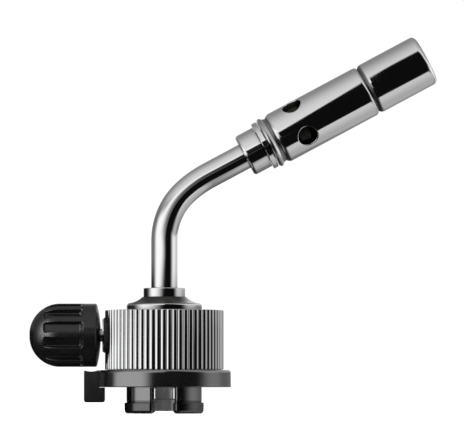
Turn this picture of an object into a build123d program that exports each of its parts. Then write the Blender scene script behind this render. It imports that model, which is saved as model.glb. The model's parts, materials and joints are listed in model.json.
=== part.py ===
from build123d import *
import os
from math import asin, copysign, cos, hypot, pi, radians, sin, tan

# A compact gas torch head that clicks onto a gas cartridge. Millimetres, +Z up.
# The origin is the centre of the gas inlet's lower end, on the axis of the round body.
# The burner leans towards +X, the control knob points to -X.

# ---- driving dimensions -------------------------------------------------------------
thread_gap = 0.05               # radial gap of every screwed or sliding fit
face_gap = 0.05                 # gap between faces that meet

# gas inlet and claws, heights above the inlet's lower end
inlet_tip_radius = 4.4
inlet_tip_length = 4.2
inlet_neck_radius = 3.5
inlet_neck_top = 8.6
inlet_thread_radius = 4.5
inlet_bore_radius = 1.6
claw_count = 4
claw_inner_radius = 12.5
claw_neck_radius = 15.1
claw_lip_radius = 15.9
claw_half_angle = 26.5
claw_lip_half_angle = 28.5
claw_bottom = -0.8
claw_lip_top = 3.3
claw_travel = 1.5
claw_pin_radius = 1.5
claw_pin_orbit = 14.0           # of the pin's axis, with the claws drawn in
slider_half_width = 4.05
slider_inner = 11.0
slider_outer = 17.5

# guide plate, lock ring and lever
ring_bottom = 9.1
ring_top = 15.6
ring_radius = 25.3
ring_top_radius = 25.2
ring_inner_radius = 22.0
ring_turn = 60.0
web_bottom = 13.0
plate_bottom = 9.3
plate_top = 12.9
plate_radius = 21.9
channel_floor = 11.0
lever_outer = 30.3              # distance from the body's axis
lever_inner = 22.6
lever_bottom = 3.3
lever_half_width = 5.4

# round body
column_radius = 9.3
shell_radius = 22.5
shell_valley_radius = 22.05
shell_inner_radius = 19.6
shell_bottom = 15.7
shell_top = 38.3
shell_roof = 2.0                # thickness of the shell's top wall
rib_count = 64
rib_half_angle = 2.7
neck_radius = 6.2
neck_top = 45.5
cap_radius = 14.25
cap_top = 43.3
nut_radius = 7.9
nut_top = 46.7

# valve across the body
valve_axis_height = 28.8
housing_radius = 4.5
spindle_radius = 2.45
knob_radius = 12.0
knob_rim = 25.5                 # distances from the body's axis, outwards
knob_back = 24.1
knob_dome_start = 40.0
knob_tip = 51.2
grip_count = 12
grip_width = 3.7
grip_floor_radius = 9.8
grip_rim_round = 0.35
grip_start = 30.6
grip_end = 45.4

# lance tube and burner, with distances along the burner's axis from the corner of the two axes
tube_radius = 5.0
tube_bore_radius = 4.0
tube_foot = 38.1
corner_height = 80.5
burner_rise = 28.2              # degrees above level
first_bend_radius = 25.0
first_bend_angle = 47.2
second_bend_radius = 41.2
holder_start = 34.6
holder_end = 42.1
holder_radius = 8.25
holder_shoulder = 1.2           # length of the rounded shoulder
holder_stub_radius = 6.0
holder_stub_end = 52.0
collar_radius = 8.95
barrel_radius = 10.05
barrel_bore_radius = 9.0
barrel_start = 48.2
barrel_end = 87.6
barrel_rear_shoulder = 1.7
barrel_front_shoulder = 1.4
barrel_spigot_radius = 9.05
sleeve_start = 88.0
sleeve_bore_start = 91.3
sleeve_rear_shoulder = 1.9
sleeve_mouth_shoulder = 1.8
burner_tip = 112.8
nozzle_bore_radius = 8.5
nozzle_bore_start = 95.2
flame_seat_radius = 8.7
air_hole_count = 4
air_hole_radius = 3.75
air_hole_rim_round = 0.4
air_hole_place = 59.1
air_hole_turn = -58.5           # of the first hole, from straight down towards the back

# ---- frames -------------------------------------------------------------------------
rise = radians(burner_rise)
burner_frame = Location(Plane(
    (0, 0, corner_height), x_dir=(sin(rise), 0, -cos(rise)), z_dir=(cos(rise), 0, sin(rise))))
valve_frame = Location(Plane((0, 0, valve_axis_height), x_dir=(0, 0, 1), z_dir=(-1, 0, 0)))


# ---- helpers ------------------------------------------------------------------------
def turned(points):
    """A solid turned about the vertical axis from (radius, height) points round its section.

    A point with four numbers ends an arc that passes through the place given by the first two."""
    outline = []
    for start, end in zip(points, points[1:] + points[:1]):
        here = (start[-2], 0, start[-1])
        there = (end[-2], 0, end[-1])
        if len(end) == 4:
            outline.append(ThreePointArc(here, (end[0], 0, end[1]), there))
        else:
            outline.append(Line(here, there))
    return revolve(make_face(outline), Axis.Z)


def shoulder(radius, tangent_height, end_height, depth):
    """Middle and end of an arc that leaves a cylinder smoothly and drops by the depth."""
    length = end_height - tangent_height
    bend_radius = (length ** 2 + depth ** 2) / (2 * depth)
    half_angle = asin(abs(length) / bend_radius) / 2
    middle_radius = radius - bend_radius * (1 - cos(half_angle))
    middle_height = tangent_height + copysign(bend_radius * sin(half_angle), length)
    return (middle_radius, middle_height), (radius - depth, end_height)


def ring(outer, inner, low, high):
    return turned([(inner, low), (outer, low), (outer, high), (inner, high)])


def rod(radius, low, high):
    return Pos(0, 0, low) * Cylinder(radius, high - low, align=(Align.CENTER, Align.CENTER, Align.MIN))


def block(low, high):
    """A box between two opposite corners."""
    middle = [(a + b) / 2 for a, b in zip(low, high)]
    return Pos(*middle) * Box(*[b - a for a, b in zip(low, high)])


def hexagon(across_flats, low, high):
    outline = RegularPolygon(across_flats / 2, 6, major_radius=False)
    return Pos(0, 0, low) * extrude(outline, high - low)


def sector(inner, outer, half_angle, low, high):
    """Part of a ring about the vertical axis, centred on +X."""
    half = radians(half_angle)

    def at(radius, angle):
        return (radius * cos(angle), radius * sin(angle))

    outline = [
        Line(at(inner, -half), at(outer, -half)),
        ThreePointArc(at(outer, -half), at(outer, 0), at(outer, half)),
        Line(at(outer, half), at(inner, half)),
        ThreePointArc(at(inner, half), at(inner, 0), at(inner, -half)),
    ]
    return Pos(0, 0, low) * extrude(make_face(outline), high - low)


def around(shape, count, first=0.0):
    """Copies of a shape spaced evenly about the vertical axis."""
    return [Rot(0, 0, first + index * 360.0 / count) * shape for index in range(count)]


def rounded(shape, radius, wanted):
    """Round the circular edges that lie at any of the wanted (radius, height) places."""
    edges = [
        edge for edge in shape.edges().filter_by(GeomType.CIRCLE)
        if any(abs(edge.radius - r) < 0.01 and abs(edge.arc_center.Z - z) < 0.01 for r, z in wanted)
    ]
    return fillet(edges, radius)


# ---- gas inlet ----------------------------------------------------------------------
def make_inlet_spigot():
    body = turned([
        (inlet_bore_radius, 0), (inlet_tip_radius, 0), (inlet_tip_radius, inlet_tip_length),
        (inlet_tip_radius - 0.4, inlet_tip_length + 0.4), (inlet_neck_radius, inlet_tip_length + 0.6),
        (inlet_neck_radius, inlet_neck_top), (5.3, inlet_neck_top), (5.3, plate_bottom - face_gap),
        (inlet_thread_radius, plate_bottom - face_gap),
        (inlet_thread_radius, 18.8), (2.6, 18.8), (2.6, 15.0), (inlet_bore_radius, 15.0),
    ])
    return body


def make_valve_pin():
    pin = rod(0.7, 0.6, 13.0) + rod(1.5, 13.0, 14.5)
    slots = [Pos(0, 0, 13.75) * Rot(0, 0, turn) * Box(0.5, 4.0, 1.6) for turn in (0, 90)]
    return pin - slots


def make_inlet_filter():
    return rod(2.55, 15.5, 18.5)


def make_inlet_seal():
    return ring(inlet_thread_radius, 2.2, 18.85, 19.45)


# ---- claws and the ring that works them -----------------------------------------------
def make_jaw():
    """One claw in its place on +X: slider block, cam pin, curved neck and outward lip."""
    neck = sector(claw_inner_radius, claw_neck_radius, claw_half_angle, claw_bottom + 1, channel_floor - face_gap)
    neck = fillet([e for e in neck.edges().filter_by(Axis.Z) if e.center().X > claw_inner_radius], 0.5)
    lip = sector(claw_inner_radius - 0.3, claw_lip_radius, claw_lip_half_angle, claw_bottom, claw_lip_top)
    lip = fillet([e for e in lip.edges().filter_by(Axis.Z) if e.center().X > claw_inner_radius], 0.9)
    lip = fillet([e for e in lip.edges() if abs(e.center().Z - claw_bottom) < 0.01], 1.1)
    lip = fillet([e for e in lip.edges() if abs(e.center().Z - claw_lip_top) < 0.01
                  and Vector(e.center().X, e.center().Y, 0).length > claw_inner_radius], 0.35)
    slider = block((slider_inner, -slider_half_width, channel_floor + 0.03 - 0.5),
                   (slider_outer, slider_half_width, plate_top - face_gap))
    slider -= block((0, -10, 0), (claw_inner_radius, 10, channel_floor + 0.03))
    slider -= block((claw_neck_radius, -10, 0), (30, 10, channel_floor + 0.03))
    pin = Pos(claw_pin_orbit, 0, 0) * rod(claw_pin_radius, plate_top - 0.5, ring_top - 0.3)
    return neck + lip + slider + pin


def cam_slot():
    """The slot that draws the pin on +X outwards as the ring turns anticlockwise."""
    def pin_place(share):
        angle = radians(-ring_turn * share)
        radius = claw_pin_orbit + claw_travel * share
        return (radius * cos(angle), radius * sin(angle))

    path = ThreePointArc(pin_place(0), pin_place(0.5), pin_place(1))
    width = 2 * claw_pin_radius + 0.2
    return Pos(0, 0, web_bottom - 1) * extrude(SlotArc(path, width), ring_top - web_bottom + 2)


def make_lock_ring():
    body = turned([
        (column_radius + 0.06, web_bottom), (ring_inner_radius, web_bottom), (ring_inner_radius, ring_bottom),
        (ring_radius, ring_bottom), (ring_top_radius, ring_top), (column_radius + 0.06, ring_top),
    ])
    body = rounded(body, 1.1, [(ring_top_radius, ring_top)])
    body = rounded(body, 0.25, [(ring_radius, ring_bottom)])
    body -= around(cam_slot(), claw_count, 45.0)
    lug = block((-28.6, -3.5, 10.2), (-24.0, 3.5, 14.2))
    lug -= Pos(-27.2, 0, 0) * rod(0.8, 5, 20)
    return body + lug


def make_lever_grip():
    """Thumb lever: a block beside the ring's rim that reaches below it, dished on top."""
    beside = block((-lever_outer, -lever_half_width, lever_bottom), (-lever_inner, lever_half_width, ring_top))
    beside -= rod(ring_radius + 0.03, ring_bottom - 0.15, ring_top + 1)
    beside = fillet([e for e in beside.edges().filter_by(Axis.Y)
                     if e.center().X < -lever_outer + 0.1 or e.center().Z < lever_bottom + 0.1], 0.9)
    dish = Pos(-27.6, 0, ring_top + 7.0) * Rot(90, 0, 0) * Cylinder(7.6, 20)
    socket = block((-28.65, -3.55, 10.15), (-20.0, 3.55, 14.25))
    pin_hole = Pos(-27.2, 0, 0) * rod(0.8, 5.5, 16)
    return beside - dish - socket - pin_hole


def make_lever_pin():
    return Pos(-27.2, 0, 0) * ring(0.75, 0.4, 6.0, 14.8)


def make_guide_plate():
    body = ring(plate_radius, inlet_thread_radius + 0.1, plate_bottom, plate_top)
    channel = block((10.2, -slider_half_width - thread_gap, channel_floor), (20.5, slider_half_width + thread_gap, 20))
    window = sector(claw_inner_radius - 0.1, claw_neck_radius + claw_travel + 0.7, claw_half_angle + 2.5,
                    plate_bottom - 1, channel_floor)
    body -= around(channel, claw_count, 45.0)
    body -= around(window, claw_count, 45.0)
    body -= around(Pos(7.0, 0, 0) * (rod(1.3, 0, 20) + rod(2.0, 0, 11.0)), 4)
    return body


def make_plate_screws():
    screw = rod(1.2, 10.9, 17.0) + rod(1.9, 9.4, 10.95)
    screw -= Pos(0, 0, 9.3) * hexagon(1.8, 0, 0.9)
    return Compound(around(Pos(7.0, 0, 0) * screw, 4))


def make_thrust_washer():
    return ring(12.4, column_radius + 0.06, ring_top + face_gap, 16.35)


def make_retaining_ring():
    body = ring(10.6, 8.72, 16.42, 17.18)
    gap = block((7.0, -2.2, 16.0), (11.0, 2.2, 18.0))
    lugs = [block((9.6, y - 1.1, 16.42), (11.9, y + 1.1, 17.18)) - Pos(10.9, y, 0) * rod(0.5, 16, 18)
            for y in (-3.4, 3.4)]
    return body - gap + lugs


# ---- round body -----------------------------------------------------------------------
def make_valve_body():
    body = turned([
        (0, plate_top), (column_radius, plate_top), (column_radius, 16.38), (8.7, 16.38), (8.7, 17.22),
        (column_radius, 17.22), (column_radius, shell_top - shell_roof - face_gap),
        (neck_radius, shell_top - shell_roof - face_gap), (neck_radius, neck_top), (0, neck_top),
    ])
    body -= rod(inlet_thread_radius + thread_gap, 0, 19.5)
    body -= rod(1.0, 19.0, valve_axis_height)
    body -= around(Pos(7.0, 0, 0) * rod(1.25, 0, 17.6), 4)
    body -= valve_frame * (rod(1.0, -1.0, 3.0) + rod(3.0, 2.0, 6.0) + rod(housing_radius + thread_gap, 5.5, 20)
                           + rod(6.5, 8.8, 20))
    body -= Pos(-4.1, 0, 0) * rod(0.9, valve_axis_height, tube_foot)
    body -= rod(tube_radius + thread_gap, tube_foot - face_gap, neck_top + 1)
    body -= turned([(0, 44.0), (tube_radius + thread_gap, 44.0), (5.85, neck_top), (5.85, 47), (0, 47)])
    return body


def rib_outline():
    """Plan of the fluted shell: convex ribs with a narrow valley between each pair."""
    def at(radius, angle):
        return (radius * cos(radians(angle)), radius * sin(radians(angle)))

    edges = []
    pitch = 360.0 / rib_count
    for index in range(rib_count):
        middle = index * pitch
        start = at(shell_valley_radius, middle - rib_half_angle)
        end = at(shell_valley_radius, middle + rib_half_angle)
        following = at(shell_valley_radius, middle + pitch - rib_half_angle)
        edges.append(ThreePointArc(start, at(shell_radius, middle), end))
        edges.append(Line(end, following))
    return make_face(edges)


def make_body_shell():
    body = Pos(0, 0, shell_bottom) * extrude(rib_outline(), shell_top - shell_bottom)
    envelope = rod(shell_radius + 0.2, shell_bottom, shell_top)
    envelope = rounded(envelope, 0.8, [(shell_radius + 0.2, shell_bottom), (shell_radius + 0.2, shell_top)])
    body = body & envelope
    body -= rod(shell_inner_radius, shell_bottom - 1, shell_top - shell_roof)
    body -= rod(neck_radius + thread_gap, shell_bottom, shell_top + 1)
    body -= valve_frame * rod(6.75, 10, 30)
    return body


def make_dome_cap():
    body = turned([
        (neck_radius + thread_gap, shell_top), (cap_radius, shell_top), (cap_radius, 40.0),
        (cap_radius - 0.28, 40.6, cap_radius - 0.9, 40.9), (10.6, 41.75, 8.3, cap_top),
        (neck_radius + thread_gap, cap_top),
    ])
    return body - turned([(8.0, shell_top - 1), (12.6, shell_top - 1), (12.6, 39.5), (8.0, 41.0)])


def make_lance_nut():
    low = cap_top + face_gap
    body = turned([
        (neck_radius + thread_gap, low), (nut_radius, low), (nut_radius, nut_top), (tube_radius + thread_gap, nut_top),
        (tube_radius + thread_gap, 45.7), (neck_radius + thread_gap, 45.7),
    ])
    return rounded(body, 0.3, [(nut_radius, nut_top)])


def make_lance_olive():
    inside = tube_radius + 0.02
    return turned([(inside, 44.05), (5.75, 45.4), (5.75, 45.65), (inside, 45.65)])


# ---- valve ----------------------------------------------------------------------------
def make_valve_seat():
    return valve_frame * ring(2.95, 1.0, 2.02, 3.2)


def make_valve_needle():
    return valve_frame * turned([
        (0, 2.2), (0.4, 2.2), (1.6, 4.3), (1.6, 5.6), (1.0, 5.6), (1.0, 8.9), (0, 8.9),
    ])


def make_spindle_housing():
    body = ring(housing_radius, spindle_radius + thread_gap, 5.6, 22.4)
    body += hexagon(10.5, 8.85, 12.0) - rod(housing_radius - 0.1, 8, 13)
    body -= rod(3.95, 15.0, 30)
    return valve_frame * body


def make_spindle_seals():
    return valve_frame * Compound([Pos(0, 0, place) * Torus(3.21, 0.68) for place in (16.0, 17.8)])


def make_gland_nut():
    body = ring(6.4, spindle_radius + thread_gap, 22.9, 23.4)
    body += ring(3.9, spindle_radius + thread_gap, 19.2, 22.95)
    return valve_frame * body


def make_boss_gasket():
    return valve_frame * ring(6.7, housing_radius + thread_gap, 18.0, 22.85)


def spindle_section(radius):
    """A round shaft with one flat, as wide as the knob's bore needs."""
    return rod(radius, 26.0, 42.0) - block((radius * 0.75, -5, 20), (5, 5, 50))


def make_valve_spindle():
    body = rod(spindle_radius, 6.2, 26.0) + spindle_section(spindle_radius)
    body -= rod(1.05, 5, 9.0)
    body -= rod(1.05, 37.0, 50)
    return valve_frame * body


def make_knob():
    dome_length = knob_tip - knob_dome_start
    slant = 0.7071
    outline = [
        Line((0, 0, knob_back), (0, 0, knob_tip)),
        ThreePointArc((0, 0, knob_tip), (knob_radius * slant * 0.985, 0, knob_dome_start + dome_length * slant * 1.01),
                      (knob_radius, 0, knob_dome_start)),
        Line((knob_radius, 0, knob_dome_start), (knob_radius, 0, knob_rim + 0.4)),
        Line((knob_radius, 0, knob_rim + 0.4), (knob_radius - 0.4, 0, knob_rim)),
        ThreePointArc((knob_radius - 0.4, 0, knob_rim), (6.0, 0, knob_back + 0.35), (0, 0, knob_back)),
    ]
    body = revolve(make_face(outline), Axis.Z)
    pocket_side = Polyline(
        (grip_floor_radius, 0, grip_end), (grip_floor_radius, 0, grip_start + 1.0),
        (knob_radius + 1, 0, grip_start - 0.6), (knob_radius + 1, 0, grip_end), close=True)
    pocket = extrude(make_face(pocket_side), grip_width / 2, dir=(0, 1, 0), both=True)
    ends = [e for e in pocket.edges() if e.length < 5 and grip_floor_radius < e.center().X < knob_radius
            and abs(e.center().Y) > grip_width / 2 - 0.01]
    pocket = fillet(ends, 0.9)
    pocket = fillet([e for e in pocket.edges() if abs(e.center().X - grip_floor_radius) < 0.01], 0.6)
    body -= around(pocket, grip_count, 15.0)
    body = fillet(body.edges().filter_by(GeomType.ELLIPSE), grip_rim_round)
    body -= spindle_section(spindle_radius + thread_gap) + rod(spindle_radius + thread_gap, 20, 26.0)
    body -= rod(1.1, 40, 45)
    body -= rod(2.0, 44.0, 60)
    return valve_frame * body


def make_knob_screw():
    screw = rod(1.0, 37.5, 44.1) + rod(1.85, 44.05, 46.0)
    screw -= Pos(0, 0, 45.6) * Box(0.5, 5, 1)
    return valve_frame * screw


def make_knob_cap():
    return valve_frame * (rod(1.95, 48.6, 51.1) + rod(1.2, 47.0, 48.7))


# ---- lance and burner -------------------------------------------------------------------
def lance_path():
    """Vertical run, a tight bend that opens into a wider one, and a run along the burner's axis."""
    total = 90.0 - burner_rise
    first = radians(first_bend_angle)
    last = radians(total)
    reach = first_bend_radius * (1 - cos(first)) + second_bend_radius * (cos(first) - cos(last))
    climb = first_bend_radius * sin(first) + second_bend_radius * (sin(last) - sin(first))
    bend_start = corner_height + reach * tan(rise) - climb
    straight_end = holder_start + 5.4
    upright = Line((0, 0, tube_foot), (0, 0, bend_start))
    first_bend = CenterArc((first_bend_radius, 0, 0), first_bend_radius, 180, -first_bend_angle)
    second_bend = CenterArc(
        (first_bend_radius + (second_bend_radius - first_bend_radius) * cos(first),
         -(second_bend_radius - first_bend_radius) * sin(first), 0),
        second_bend_radius, 180 - first_bend_angle, first_bend_angle - total)
    stand_up = Pos(0, 0, bend_start) * Rot(90, 0, 0)
    end = (straight_end * cos(rise), 0, corner_height + straight_end * sin(rise))
    run = Line((reach, 0, bend_start + climb), end)
    return Wire([upright.edge(), *(stand_up * first_bend).edges(), *(stand_up * second_bend).edges(), run.edge()])


def make_lance_tube():
    section = Pos(0, 0, tube_foot) * (Circle(tube_radius) - Circle(tube_bore_radius))
    return sweep(section, path=lance_path())


def make_jet_holder():
    shoulder_end = holder_start + holder_shoulder
    middle, foot = shoulder(holder_radius, shoulder_end, holder_start, 0.8)
    body = turned([
        (1.5, 40.3), (tube_radius + thread_gap, 40.3), (tube_radius + thread_gap, holder_start),
        foot, middle + (holder_radius, shoulder_end), (holder_radius, holder_end),
        (holder_stub_radius, holder_end), (holder_stub_radius, holder_stub_end), (2.5, holder_stub_end),
        (2.5, 47.0), (1.5, 47.0),
    ])
    return burner_frame * body


def make_lock_nut():
    body = turned([
        (holder_stub_radius + thread_gap, 42.3), (9.35, 42.3), (9.55, 42.5), (9.55, 44.1), (9.35, 44.3),
        (holder_stub_radius + thread_gap, 44.3),
    ])
    return burner_frame * body


def make_burner_collar():
    body = turned([
        (holder_stub_radius + thread_gap, 44.6), (9.35, 44.6), (9.55, 44.8), (9.87, 45.0, 10.05, 45.5),
        (9.98, 46.0, 9.7, 46.4), (9.3, 46.9, collar_radius, 47.6), (collar_radius, 52.0),
        (holder_stub_radius + thread_gap, 52.0),
    ])
    return burner_frame * body


def make_jet():
    body = rod(2.45, 47.5, 52.1) + hexagon(7.0, 52.05, 54.5)
    body += turned([(0, 54.4), (2.6, 54.4), (2.6, 55.6), (1.3, 58.0), (0, 58.0)])
    body -= rod(0.9, 47, 57.2)
    body -= rod(0.25, 57.0, 59)
    return burner_frame * body


def make_jet_filter():
    return burner_frame * rod(1.45, 43.5, 46.5)


def make_mixing_tube():
    """Venturi: a wide bell mouth under the air holes, a throat and a slow widening, on two flanges."""
    flange = barrel_bore_radius - thread_gap
    body = turned([
        (7.1, 56.4), (7.9, 56.4), (7.9, 60.3), (5.2, 64.5), (5.0, 67.0), (flange, 67.0), (flange, 69.0),
        (5.0, 69.0), (6.6, 82.0), (flange, 82.0), (flange, 84.0), (6.0, 84.0), (4.0, 68.0), (4.0, 65.0),
        (7.1, 60.0),
    ])
    return burner_frame * body


def make_burner_barrel():
    full_from = barrel_start + barrel_rear_shoulder
    full_to = barrel_end - barrel_front_shoulder
    start_middle, start_foot = shoulder(barrel_radius, full_from, barrel_start, 0.85)
    end_middle, end_foot = shoulder(barrel_radius, full_to, barrel_end, 0.7)
    outer = turned([
        (barrel_bore_radius, barrel_start), start_foot, start_middle + (barrel_radius, full_from),
        (barrel_radius, full_to), end_middle + end_foot, (barrel_spigot_radius, barrel_end),
        (barrel_spigot_radius, 91.0), (8.2, 91.0), (8.2, 85.0), (barrel_bore_radius, 85.0),
    ])
    hole = Pos(0, 0, air_hole_place) * Rot(0, 90, 0) * rod(air_hole_radius, 6, 14)
    outer -= around(hole, air_hole_count, air_hole_turn)
    rims = [
        edge for edge in outer.edges() if edge.geom_type not in (GeomType.CIRCLE, GeomType.LINE)
        and abs(hypot((edge @ 0).X, (edge @ 0).Y) - barrel_radius) < 0.01
    ]
    return burner_frame * fillet(rims, air_hole_rim_round)


def make_nozzle_sleeve():
    full_from = sleeve_start + sleeve_rear_shoulder
    full_to = burner_tip - sleeve_mouth_shoulder
    start_middle, start_foot = shoulder(barrel_radius, full_from, sleeve_start, 0.8)
    mouth_middle, mouth_foot = shoulder(barrel_radius, full_to, burner_tip, 1.4)
    body = turned([
        (barrel_spigot_radius + thread_gap, sleeve_start), start_foot,
        start_middle + (barrel_radius, full_from), (barrel_radius, full_to),
        mouth_middle + mouth_foot, (nozzle_bore_radius, burner_tip), (nozzle_bore_radius, nozzle_bore_start),
        (flame_seat_radius, nozzle_bore_start), (flame_seat_radius, sleeve_bore_start),
        (barrel_spigot_radius + thread_gap, sleeve_bore_start),
    ])
    return burner_frame * body


def make_flame_holder():
    body = rod(flame_seat_radius - thread_gap, 91.6, nozzle_bore_start - face_gap) - rod(2.7, 90, 96)
    body -= around(Pos(5.6, 0, 0) * rod(1.15, 90, 96), 10)
    return burner_frame * body


# ---- every node -------------------------------------------------------------------------
nodes = {
    "inlet_spigot": make_inlet_spigot(),
    "valve_pin": make_valve_pin(),
    "inlet_filter": make_inlet_filter(),
    "inlet_seal": make_inlet_seal(),
    "lock_ring": make_lock_ring(),
    "lever_grip": make_lever_grip(),
    "lever_pin": make_lever_pin(),
    "guide_plate": make_guide_plate(),
    "plate_screws": make_plate_screws(),
    "thrust_washer": make_thrust_washer(),
    "retaining_ring": make_retaining_ring(),
    "valve_body": make_valve_body(),
    "body_shell": make_body_shell(),
    "dome_cap": make_dome_cap(),
    "lance_nut": make_lance_nut(),
    "lance_olive": make_lance_olive(),
    "valve_seat": make_valve_seat(),
    "valve_needle": make_valve_needle(),
    "spindle_housing": make_spindle_housing(),
    "spindle_seals": make_spindle_seals(),
    "gland_nut": make_gland_nut(),
    "boss_gasket": make_boss_gasket(),
    "valve_spindle": make_valve_spindle(),
    "knob": make_knob(),
    "knob_screw": make_knob_screw(),
    "knob_cap": make_knob_cap(),
    "lance_tube": make_lance_tube(),
    "jet_holder": make_jet_holder(),
    "lock_nut": make_lock_nut(),
    "burner_collar": make_burner_collar(),
    "jet": make_jet(),
    "jet_filter": make_jet_filter(),
    "mixing_tube": make_mixing_tube(),
    "burner_barrel": make_burner_barrel(),
    "nozzle_sleeve": make_nozzle_sleeve(),
    "flame_holder": make_flame_holder(),
}
for number, jaw in enumerate(around(make_jaw(), claw_count, 45.0), start=1):
    nodes[f"jaw_{number}"] = jaw

os.makedirs("parts", exist_ok=True)
for name, shape in nodes.items():
    export_step(shape, f"parts/{name}.step")

tube_length = sum(edge.length for edge in lance_path().edges())
tube_section = pi * (tube_radius ** 2 - tube_bore_radius ** 2)
print("lance tube volume over section times length:", round(nodes["lance_tube"].volume / tube_section / tube_length, 4))
print("lance tube bend radii:", first_bend_radius, second_bend_radius)
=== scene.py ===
import json
from math import cos, pi, radians, sin

import bpy
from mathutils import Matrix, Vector


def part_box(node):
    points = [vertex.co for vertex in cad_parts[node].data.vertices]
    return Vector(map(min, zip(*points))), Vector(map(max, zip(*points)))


# Looks for the gas torch head. Metres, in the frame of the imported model: +Z up along the round body,
# +X towards the burner, -X towards the control knob, origin at the lower end of the gas inlet.

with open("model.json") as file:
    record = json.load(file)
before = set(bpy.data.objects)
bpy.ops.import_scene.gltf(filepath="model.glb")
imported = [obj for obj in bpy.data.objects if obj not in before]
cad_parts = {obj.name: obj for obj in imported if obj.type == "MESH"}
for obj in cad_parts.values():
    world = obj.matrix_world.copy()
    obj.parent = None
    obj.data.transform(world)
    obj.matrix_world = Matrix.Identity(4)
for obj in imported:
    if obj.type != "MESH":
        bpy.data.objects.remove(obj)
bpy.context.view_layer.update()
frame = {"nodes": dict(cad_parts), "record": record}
nodes = frame["nodes"]

# ---- camera and studio --------------------------------------------------------------
view_centre = Vector((0.0257, 0.0, 0.0720))     # what the middle of the picture looks at
view_width = 0.1763                             # width of the picture at the object
camera_distance = 1.65
camera_place = Vector((0.022, -camera_distance, 0.006))
sensor_width = 0.036
floor_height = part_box("jaw_1")[0].z - 0.0002
floor_reach = 4.0
dome_centre = (0.025, 0.0, 0.070)               # the reflected surroundings, close round the object
dome_radius = 0.30

# ---- places on the object where the finish changes ----------------------------------
burner_rise = radians(28.2)
burner_corner = (0.0, 0.0, 0.0805)              # where the body's and the burner's axes meet
burner_axis = (cos(burner_rise), 0.0, sin(burner_rise))
barrel_bore = 0.0090                            # radius
barrel_start = 0.0483                           # along the burner's axis, as are the grooves with painted shade
burner_groove_shade = (                                # where each groove's painted shade starts and ends, and its share
    (0.0455, 0.0457, 0.5),
    (0.0471, 0.0482, 0.6),
    (0.0880, 0.0888, 0.75),
)
cap_flare_height = 0.0402                       # foot of the concave flare on the domed cap
lip_top = 0.0044                                # top of the claws' lips, with painted shade below it


def make_camera():
    """Camera in front, level with the claws, with a lens that fits the picture to view_width."""
    data = bpy.data.cameras.new("camera")
    data.sensor_width = sensor_width * 1000
    distance = (view_centre - camera_place).length
    data.lens = data.sensor_width * distance / view_width
    data.clip_end = 20.0
    camera = bpy.data.objects.new("camera", data)
    camera.location = camera_place
    camera.rotation_mode = "QUATERNION"
    camera.rotation_quaternion = (view_centre - camera_place).to_track_quat("-Z", "Y")
    bpy.context.scene.collection.objects.link(camera)
    bpy.context.scene.camera = camera


def add_light(name, place, aim, size, power):
    """A rectangular soft light that lights but isn't mirrored: mirrors see the reflection dome instead."""
    data = bpy.data.lights.new(name, "AREA")
    data.shape = "RECTANGLE"
    data.size, data.size_y = size
    data.energy = power
    light = bpy.data.objects.new(name, data)
    light.location = place
    light.rotation_mode = "QUATERNION"
    light.rotation_quaternion = (Vector(aim) - Vector(place)).to_track_quat("-Z", "Y")
    light.visible_glossy = False
    bpy.context.scene.collection.objects.link(light)
    return light


def make_knob_light():
    """A tall soft box far left that only the knob picks up, as the soft patch on its rounded end."""
    rounded_end = (-0.047, -0.008, 0.030)
    light = add_light("knob_light", (-0.290, -0.165, 0.096), rounded_end, (0.13, 0.30), 6.5)
    light.visible_glossy = True
    light.visible_diffuse = False
    lit = bpy.data.collections.new("lit_by_knob_light")
    for name in ("knob", "knob_cap"):
        lit.objects.link(nodes[name])
    light.light_linking.receiver_collection = lit


def make_world():
    """Plain white behind everything that the camera sees, and a softer white that lights."""
    world = bpy.data.worlds.new("studio")
    world.use_nodes = True
    bpy.context.scene.world = world
    tree = world.node_tree
    background = tree.nodes["Background"]
    background.inputs["Color"].default_value = (1, 1, 1, 1)
    rays = tree.nodes.new("ShaderNodeLightPath")
    strength = tree.nodes.new("ShaderNodeMapRange")
    strength.inputs["To Min"].default_value = 0.75
    strength.inputs["To Max"].default_value = 1.05
    tree.links.new(rays.outputs["Is Camera Ray"], strength.inputs["Value"])
    tree.links.new(strength.outputs["Result"], background.inputs["Strength"])


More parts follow.
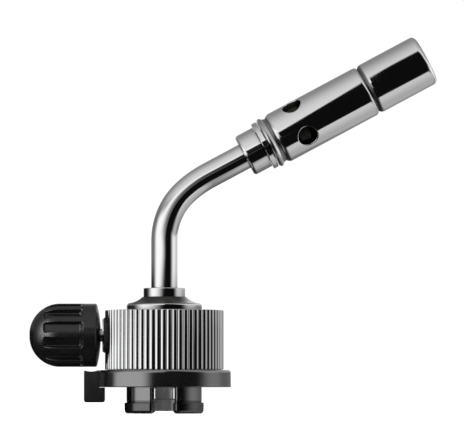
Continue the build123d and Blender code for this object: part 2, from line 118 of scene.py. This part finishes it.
# ---- node helpers -------------------------------------------------------------------
class Nodes:
    """Short names for building a node tree."""

    def __init__(self, tree):
        self.tree = tree

    def put(self, socket, value):
        if isinstance(value, bpy.types.NodeSocket):
            self.tree.links.new(value, socket)
        else:
            socket.default_value = value

    def math(self, operation, first, second=0.0):
        node = self.tree.nodes.new("ShaderNodeMath")
        node.operation = operation
        self.put(node.inputs[0], first)
        self.put(node.inputs[1], second)
        return node.outputs[0]

    def smooth(self, value, low, high, start=0.0, end=1.0):
        """Goes smoothly from start to end while value goes from low to high."""
        node = self.tree.nodes.new("ShaderNodeMapRange")
        node.interpolation_type = "SMOOTHSTEP"
        self.put(node.inputs["Value"], value)
        self.put(node.inputs["From Min"], low)
        self.put(node.inputs["From Max"], high)
        self.put(node.inputs["To Min"], start)
        self.put(node.inputs["To Max"], end)
        return node.outputs["Result"]

    def mix(self, share, first, second):
        """first where share is 0, second where it is 1."""
        node = self.tree.nodes.new("ShaderNodeMapRange")
        self.put(node.inputs["Value"], share)
        self.put(node.inputs["To Min"], first)
        self.put(node.inputs["To Max"], second)
        return node.outputs["Result"]

    def mix_color(self, share, first, second):
        node = self.tree.nodes.new("ShaderNodeMix")
        node.data_type = "RGBA"
        self.put(node.inputs["Factor"], share)
        self.put(node.inputs["A"], first)
        self.put(node.inputs["B"], second)
        return node.outputs["Result"]

    def place(self):
        return self.tree.nodes.new("ShaderNodeTexCoord").outputs["Object"]

    def coordinates(self):
        """Object coordinates, as separate outputs X, Y and Z."""
        node = self.tree.nodes.new("ShaderNodeSeparateXYZ")
        self.put(node.inputs[0], self.place())
        return node.outputs

    def stretched(self, scale):
        """Object coordinates, scaled differently along X, Y and Z."""
        node = self.tree.nodes.new("ShaderNodeMapping")
        self.put(node.inputs["Vector"], self.place())
        node.inputs["Scale"].default_value = scale
        return node.outputs["Vector"]

    def noise(self, scale, detail=2.0, roughness=0.5, vector=None):
        node = self.tree.nodes.new("ShaderNodeTexNoise")
        self.put(node.inputs["Vector"], self.place() if vector is None else vector)
        node.inputs["Scale"].default_value = scale
        node.inputs["Detail"].default_value = detail
        node.inputs["Roughness"].default_value = roughness
        return node.outputs["Fac"]

    def vector(self, operation, first, second=(0.0, 0.0, 0.0)):
        node = self.tree.nodes.new("ShaderNodeVectorMath")
        node.operation = operation
        self.put(node.inputs[0], first)
        self.put(node.inputs[1], second)
        return node.outputs["Value" if operation in ("LENGTH", "DOT_PRODUCT") else "Vector"]

    def crevice(self, distance):
        """1 on open surfaces, falling to 0 in corners and grooves narrower than the distance."""
        node = self.tree.nodes.new("ShaderNodeAmbientOcclusion")
        node.samples = 6
        node.inputs["Distance"].default_value = distance
        return node.outputs["AO"]

    def bump(self, height, strength, distance):
        node = self.tree.nodes.new("ShaderNodeBump")
        self.put(node.inputs["Height"], height)
        node.inputs["Strength"].default_value = strength
        node.inputs["Distance"].default_value = distance
        return node.outputs["Normal"]


def make_reflection_dome():
    """The dark room and the soft boxes that the chrome mirrors, painted on a dome that only mirrors see."""
    mesh = bpy.data.meshes.new("reflected_studio")
    ring_count, step_count = 24, 48
    points = [(0, 0, 1), (0, 0, -1)]
    for row in range(1, ring_count):
        tilt = pi * row / ring_count
        for step in range(step_count):
            turn = 2 * pi * step / step_count
            points.append((sin(tilt) * cos(turn), sin(tilt) * sin(turn), cos(tilt)))
    faces = []
    for step in range(step_count):
        following = (step + 1) % step_count
        last = 2 + (ring_count - 2) * step_count
        faces.append((0, 2 + step, 2 + following))
        faces.append((1, last + following, last + step))
        for row in range(ring_count - 2):
            upper, lower = 2 + row * step_count, 2 + (row + 1) * step_count
            faces.append((upper + step, lower + step, lower + following, upper + following))
    mesh.from_pydata(points, [], faces)
    dome = bpy.data.objects.new("reflected_studio", mesh)
    dome.scale = (dome_radius,) * 3
    dome.location = dome_centre
    bpy.context.scene.collection.objects.link(dome)
    for ray in ("camera", "diffuse", "transmission", "volume_scatter", "shadow"):
        setattr(dome, f"visible_{ray}", False)
    mesh.materials.append(make_studio_material())


def make_studio_material():
    """Brightness of the reflected surroundings, by direction from the middle of the dome."""
    material = bpy.data.materials.new("reflected_studio")
    material.use_nodes = True
    tree = material.node_tree
    tree.nodes.clear()
    n = Nodes(tree)
    across, depth, height = n.coordinates()     # -1 to 1: right, away from the camera, up
    nearness = n.math("MULTIPLY", depth, -1.0)
    turn = n.math("MULTIPLY", n.math("ARCTAN2", across, nearness), 180 / pi)    # degrees right of the camera

    # right-hand reflector, lighter higher up and weaker far round the sides
    level = n.smooth(height, -0.075, -0.015, 0.50, 0.92)
    far_side = n.smooth(height, -0.08, -0.05, 0.50, 0.68)
    level = n.math("MULTIPLY", level, n.smooth(n.math("ABSOLUTE", turn), 95, 130, 1.0, far_side))
    # dim wall on the left, beside and behind the soft box
    wall = n.math("MULTIPLY", n.smooth(turn, -30, -60), n.smooth(turn, -162, -148))
    level = n.mix(wall, level, n.smooth(height, -0.06, -0.02, 0.045, 0.18))
    # floor below and ceiling above, both lighter on the camera's side
    # the floor lightens to the right in two steps
    floor = n.smooth(nearness, -0.3, 0.6, 0.42, 0.62)
    floor = n.math("MULTIPLY", floor, n.smooth(across, 0.26, 0.42, 0.10, 1.0))
    floor = n.math("MULTIPLY", floor, n.smooth(across, 0.47, 0.56, 0.48, 1.0))
    level = n.mix(n.smooth(height, -0.14, -0.50), level, floor)
    ceiling = n.smooth(nearness, -0.6, 0.9, 0.26, 0.74)
    level = n.mix(n.smooth(height, 0.35, 0.60), level, ceiling)
    # left soft box, with a sharper edge low down
    left_from = n.smooth(height, -0.15, -0.12, -98, -104)
    left_to = n.smooth(height, -0.15, -0.12, -84, -66)
    left = n.math("MULTIPLY", n.smooth(turn, left_from, left_to), n.smooth(turn, 25, 0))
    left = n.math("MULTIPLY", left, n.smooth(height, -0.45, -0.28))
    left = n.math("MULTIPLY", left, n.smooth(height, 0.50, 0.25))
    level = n.mix(left, level, 1.06)
    # dark gap behind on the left
    gap = n.math("MULTIPLY", n.smooth(turn, -104, -112), n.smooth(turn, -146, -136))
    level = n.mix(n.math("MULTIPLY", gap, n.smooth(height, 0.0, -0.07)), level, 0.01)
    # the dark room round the camera: its left edge, sharper above the middle, and its right edge
    edge = n.smooth(height, -0.068, 0.01, -0.51, -0.15)
    upper_edge = n.smooth(height, 0.27, 0.38, -0.36, -0.05)
    edge = n.mix(n.smooth(height, -0.01, 0.08), edge, upper_edge)
    soft = n.smooth(height, -0.15, -0.10, 0.16, 0.42)
    soft = n.mix(n.smooth(height, 0.22, 0.38), soft, 0.02)
    beyond = n.math("DIVIDE", n.math("SUBTRACT", across, edge), soft)
    steepness = n.math("ABSOLUTE", height)
    bulge = n.smooth(n.math("ABSOLUTE", n.math("ADD", height, 0.07)), 0.05, 0.02, 0.02, 0.18)
    right_edge = n.mix(n.smooth(steepness, 0.25, 0.55), bulge, 0.56)
    right_dark = n.smooth(height, -0.12, -0.09, 0.60, 0.67)
    room = n.math("MULTIPLY", n.smooth(beyond, -1, 1), n.smooth(nearness, right_edge, right_dark))
    level = n.mix(room, level, 0.004)

    emission = tree.nodes.new("ShaderNodeEmission")
    n.put(emission.inputs["Strength"], level)
    output = tree.nodes.new("ShaderNodeOutputMaterial")
    n.put(output.inputs["Surface"], emission.outputs[0])
    return material


def make_floor():
    """Pale floor that glows more with distance, so that it fades into the white behind."""
    mesh = bpy.data.meshes.new("floor")
    sides = ((-1, -1), (1, -1), (1, 1), (-1, 1))
    corners = [(x * floor_reach, y * floor_reach, floor_height) for x, y in sides]
    mesh.from_pydata(corners, [], [(0, 1, 2, 3)])
    floor = bpy.data.objects.new("floor", mesh)
    material = bpy.data.materials.new("floor")
    material.use_nodes = True
    n = Nodes(material.node_tree)
    surface = material.node_tree.nodes["Principled BSDF"].inputs
    surface["Base Color"].default_value = (0.92, 0.92, 0.92, 1)
    surface["Roughness"].default_value = 0.9
    surface["Specular IOR Level"].default_value = 0.1
    surface["Emission Color"].default_value = (1, 1, 1, 1)
    distance = n.vector("LENGTH", n.place())
    n.put(surface["Emission Strength"], n.smooth(distance, 0.05, 0.30, 0.12, 0.75))
    mesh.materials.append(material)
    bpy.context.scene.collection.objects.link(floor)
    floor.visible_glossy = False


# ---- materials ----------------------------------------------------------------------
def surface_material(name):
    """A material with one Principled shader: returns it, its helper and the shader's inputs."""
    material = bpy.data.materials.new(name)
    material.use_nodes = True
    return material, Nodes(material.node_tree), material.node_tree.nodes["Principled BSDF"].inputs


def chrome_material(name, shade_groove_width=0.0012, shade_open_level=0.80, groove_shade_grey=0.03, soot_and_shade=None):
    """Bright plate, dulled by faint smudges, with painted shade in its grooves.

    The painted shade comes from ambient occlusion: grooves narrower than the given width are painted fully
    dark where little is open, and bright again from the given open level up. The last argument builds the
    share of 1 where the plate is sooted by the flame, and where it has painted shade."""
    material, n, surface = surface_material(name)
    smudge = n.noise(70.0, 3.0, 0.6)
    fine = n.noise(2600.0, 2.0)
    # painted shade: ambient occlusion darkens the plate colour in grooves and corners
    unshaded_share = n.smooth(n.crevice(shade_groove_width), 0.25, shade_open_level)
    plate = n.mix_color(smudge, (0.86, 0.865, 0.875, 1), (0.93, 0.93, 0.935, 1))
    color = n.mix_color(unshaded_share, (groove_shade_grey, groove_shade_grey, groove_shade_grey, 1), plate)
    rough = n.smooth(smudge, 0.35, 0.75, 0.045, 0.11)
    if soot_and_shade is not None:
        # sooted colour, which also paints shade in the burner's grooves and on the dome's flare
        soot_and_shade_share = soot_and_shade(n)
        color = n.mix_color(soot_and_shade_share, color, (0.022, 0.019, 0.016, 1))
        rough = n.mix(soot_and_shade_share, rough, 0.55)
    n.put(surface["Base Color"], color)
    surface["Metallic"].default_value = 1.0
    n.put(surface["Roughness"], rough)
    n.put(surface["Normal"], n.bump(fine, 0.03, 0.00005))
    return material


def painted_shade_on_dome_flare(n):
    """Share of 1 on the concave flare of the domed cap, painted shade from the nut above, less to the
    burner's side.
    """
    spot = n.coordinates()
    # painted shade on the flare below the nut
    flare = n.smooth(spot["Z"], cap_flare_height, cap_flare_height + 0.0006)
    flare = n.math("MULTIPLY", flare, n.smooth(spot["X"], 0.012, 0.005))
    return n.math("MULTIPLY", flare, 0.93)


def burner_soot_and_groove_shade(n):
    """Share of 1 inside the burner tube, sooted by the flame, and a smaller share of painted shade in the
    grooves round it.
    """
    from_corner = n.vector("SUBTRACT", n.place(), burner_corner)
    away = n.vector("LENGTH", n.vector("CROSS_PRODUCT", from_corner, burner_axis))
    along = n.vector("DOT_PRODUCT", from_corner, burner_axis)
    beyond_start = n.smooth(along, barrel_start, barrel_start + 0.0003)
    soot_and_shade_share = n.math("MULTIPLY", n.smooth(away, barrel_bore + 0.0001, barrel_bore), beyond_start)
    # painted shade: dark rings in the grooves round the burner
    for start, end, share in burner_groove_shade:
        before_end = n.smooth(along, end + 0.0006, end, 0.0, share)
        ring = n.math("MULTIPLY", n.smooth(along, start - 0.0004, start), before_end)
        soot_and_shade_share = n.math("MAXIMUM", soot_and_shade_share, ring)
    return soot_and_shade_share


def dark_metal_material():
    """Semi-gloss blackened metal of the lock ring and claws, with painted shade on the claws' lips."""
    material, n, surface = surface_material("blackened_metal")
    patch = n.noise(55.0, 4.0, 0.6)
    grain = n.noise(3200.0, 2.0)
    # painted shade: the claws' lips, below lip_top, are darkened
    lip_shade = n.smooth(n.coordinates()["Z"], lip_top, lip_top - 0.0006, 0.0, 0.65)
    bare = n.mix_color(patch, (0.25, 0.25, 0.255, 1), (0.32, 0.32, 0.325, 1))
    n.put(surface["Base Color"], n.mix_color(lip_shade, bare, (0.07, 0.07, 0.072, 1)))
    surface["Metallic"].default_value = 0.985
    n.put(surface["Roughness"], n.smooth(patch, 0.3, 0.75, 0.09, 0.17))
    n.put(surface["Normal"], n.bump(grain, 0.12, 0.00005))
    return material


def plastic_material(name, color, worn_color, roughness, grain_scale, grain_strength):
    """Moulded plastic or rubber with a fine grain, and slightly worn patches."""
    material, n, surface = surface_material(name)
    patch = n.noise(60.0, 4.0, 0.6)
    grain = n.noise(grain_scale, 3.0)
    n.put(surface["Base Color"], n.mix_color(n.smooth(patch, 0.35, 0.75), color, worn_color))
    n.put(surface["Roughness"], n.smooth(patch, 0.3, 0.75, roughness - 0.05, roughness + 0.08))
    surface["IOR"].default_value = 1.5
    n.put(surface["Normal"], n.bump(grain, grain_strength, 0.00008))
    return material


def machined_material(name, color, dark_color, roughness, line_scale, metallic=1.0):
    """Turned metal: fine rings of tool marks and slightly uneven colour."""
    material, n, surface = surface_material(name)
    patch = n.noise(160.0, 3.0, 0.6)
    lines = n.noise(line_scale, 1.0, 0.5, n.stretched((0.15, 0.15, 1.0)))
    n.put(surface["Base Color"], n.mix_color(patch, dark_color, color))
    surface["Metallic"].default_value = metallic
    n.put(surface["Roughness"], n.smooth(lines, 0.3, 0.7, roughness - 0.06, roughness + 0.08))
    n.put(surface["Normal"], n.bump(lines, 0.15, 0.00006))
    return material


def heat_stained_material():
    """Steel that has run hot: straw, brown and blue tints in soft patches."""
    material, n, surface = surface_material("heat_stained_steel")
    patch = n.noise(190.0, 3.0, 0.6)
    straw = n.mix_color(n.smooth(patch, 0.3, 0.5), (0.40, 0.36, 0.30, 1), (0.42, 0.28, 0.16, 1))
    n.put(surface["Base Color"], n.mix_color(n.smooth(patch, 0.5, 0.7), straw, (0.16, 0.18, 0.30, 1)))
    surface["Metallic"].default_value = 1.0
    n.put(surface["Roughness"], n.smooth(patch, 0.3, 0.7, 0.3, 0.5))
    n.put(surface["Normal"], n.bump(n.noise(1500.0), 0.2, 0.00008))
    return material


def tarnished_brass_material():
    """Brass inside the burner, dulled and sooted by the flame."""
    material, n, surface = surface_material("tarnished_brass")
    patch = n.noise(260.0, 4.0, 0.65)
    n.put(surface["Base Color"], n.mix_color(patch, (0.030, 0.027, 0.024, 1), (0.085, 0.074, 0.060, 1)))
    surface["Metallic"].default_value = 1.0
    n.put(surface["Roughness"], n.smooth(patch, 0.3, 0.7, 0.45, 0.65))
    n.put(surface["Normal"], n.bump(n.noise(1800.0), 0.2, 0.00006))
    return material


def make_materials():
    """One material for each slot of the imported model, and variants for a few nodes."""
    return {
        "chrome_plate": chrome_material("polished_chrome"),
        # burner, dome and fluted shell: wider or lighter painted shade in their grooves
        "burner_chrome": chrome_material(
            "burner_chrome", shade_groove_width=0.004, shade_open_level=0.95, soot_and_shade=burner_soot_and_groove_shade),
        "shell_chrome": chrome_material("shell_chrome", groove_shade_grey=0.40),
        "dome_chrome": chrome_material("dome_chrome", shade_groove_width=0.004, soot_and_shade=painted_shade_on_dome_flare),
        "tarnished_brass": tarnished_brass_material(),
        "satin_nickel": machined_material(
            "satin_nickel", (0.86, 0.86, 0.85, 1), (0.70, 0.70, 0.69, 1), 0.40, 4200.0, metallic=0.6),
        "black_metal": dark_metal_material(),
        "black_gloss_plastic": plastic_material(
            "glossy_black_plastic", (0.003, 0.003, 0.003, 1), (0.006, 0.006, 0.006, 1), 0.20, 1500.0, 0.06),
        "black_matte_plastic": plastic_material(
            "satin_black_plastic", (0.006, 0.006, 0.006, 1), (0.012, 0.012, 0.012, 1), 0.36, 2200.0, 0.25),
        "black_rubber": plastic_material(
            "black_rubber", (0.008, 0.008, 0.008, 1), (0.02, 0.02, 0.02, 1), 0.60, 1200.0, 0.3),
        "white_ptfe": plastic_material(
            "white_ptfe", (0.80, 0.80, 0.78, 1), (0.72, 0.72, 0.69, 1), 0.45, 900.0, 0.1),
        "brass": machined_material(
            "turned_brass", (0.78, 0.57, 0.26, 1), (0.62, 0.43, 0.18, 1), 0.26, 5200.0),
        "steel": machined_material(
            "turned_steel", (0.60, 0.60, 0.61, 1), (0.48, 0.48, 0.50, 1), 0.28, 5200.0),
        "heat_steel": heat_stained_material(),
    }


def dress_cad_nodes(materials):
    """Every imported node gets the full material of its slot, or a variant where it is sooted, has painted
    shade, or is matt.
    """
    special = {
        "burner_barrel": "burner_chrome", "nozzle_sleeve": "burner_chrome", "jet_holder": "burner_chrome",
        "burner_collar": "burner_chrome", "mixing_tube": "tarnished_brass", "jet": "tarnished_brass",
        "dome_cap": "dome_chrome", "body_shell": "shell_chrome", "inlet_spigot": "satin_nickel",
    }
    slots = {row["node"]: row["material_slot"] for row in frame["record"]["subparts"]}
    for name, node in nodes.items():
        for index in range(len(node.material_slots)):
            node.material_slots[index].material = materials[special.get(name, slots[name])]


# ---- the scene ----------------------------------------------------------------------
make_camera()
make_world()
add_light("key_light", (-0.9, -0.9, 1.0), (0.0, 0.0, 0.05), (0.9, 0.9), 14.0)
add_light("top_light", (0.2, 0.1, 1.3), (0.0, 0.0, 0.0), (1.2, 1.2), 14.0)
bpy.context.scene.view_settings.view_transform = "Standard"
make_knob_light()
make_floor()
make_reflection_dome()
materials = make_materials()
dress_cad_nodes(materials)
